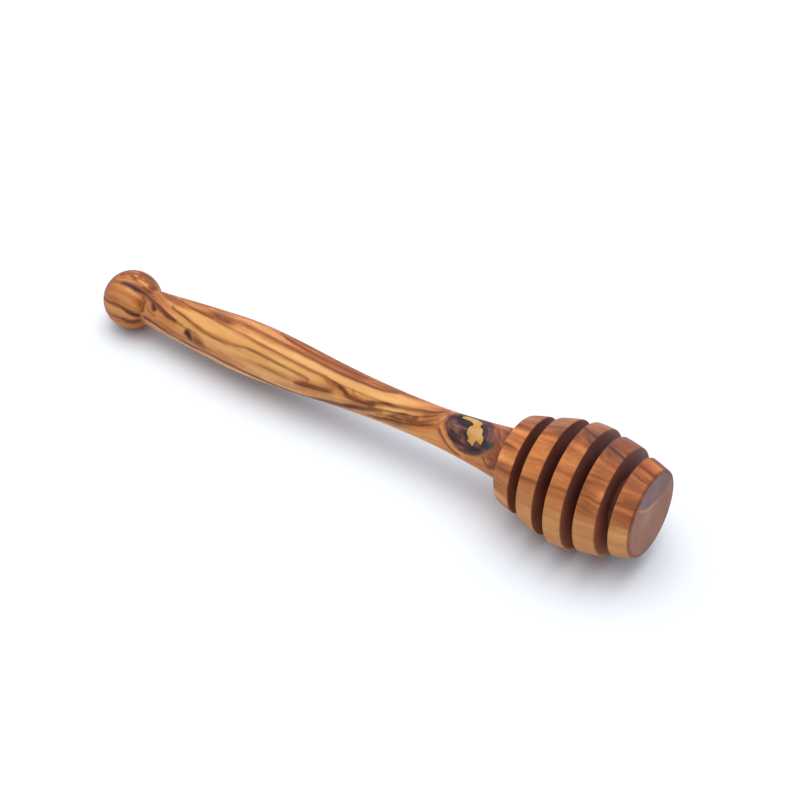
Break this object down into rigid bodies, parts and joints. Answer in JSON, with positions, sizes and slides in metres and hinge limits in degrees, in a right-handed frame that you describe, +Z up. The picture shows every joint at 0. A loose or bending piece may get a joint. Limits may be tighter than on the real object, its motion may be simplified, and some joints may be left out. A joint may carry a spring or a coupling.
{
  "type": "honey dipper",
  "caption": "Turned olive-wood honey dipper: slim swelling stick with a ball tail, glued by its round tenon into a grooved barrel head with a flat end.",
  "frame": {"origin": "on the surface that the dipper lies on, under the middle of its bounding box", "axes": "+X horizontal, from the ball tail towards the head; +Z up; +Y completes a right-handed frame. The turning axis lies in the XZ plane, rising 3.26 degrees towards the head, because the dipper rests on its ball and on its widest disc"},
  "size_m": [0.1604, 0.0304, 0.0305],
  "materials": {
    "handle_wood": "oiled olive wood with dark streaks, satin",
    "head_wood": "oiled plain olive wood, redder, satin",
    "dried_glue": "cured wood glue",
    "knot_fill": "honey-coloured hard wood filler, sanded flush"
  },
  "bodies": {
    "root": {"handle": "handle_wood", "head": "head_wood", "glue_line": "dried_glue", "knot_filler": "knot_fill"}
  },
  "joints": []
}
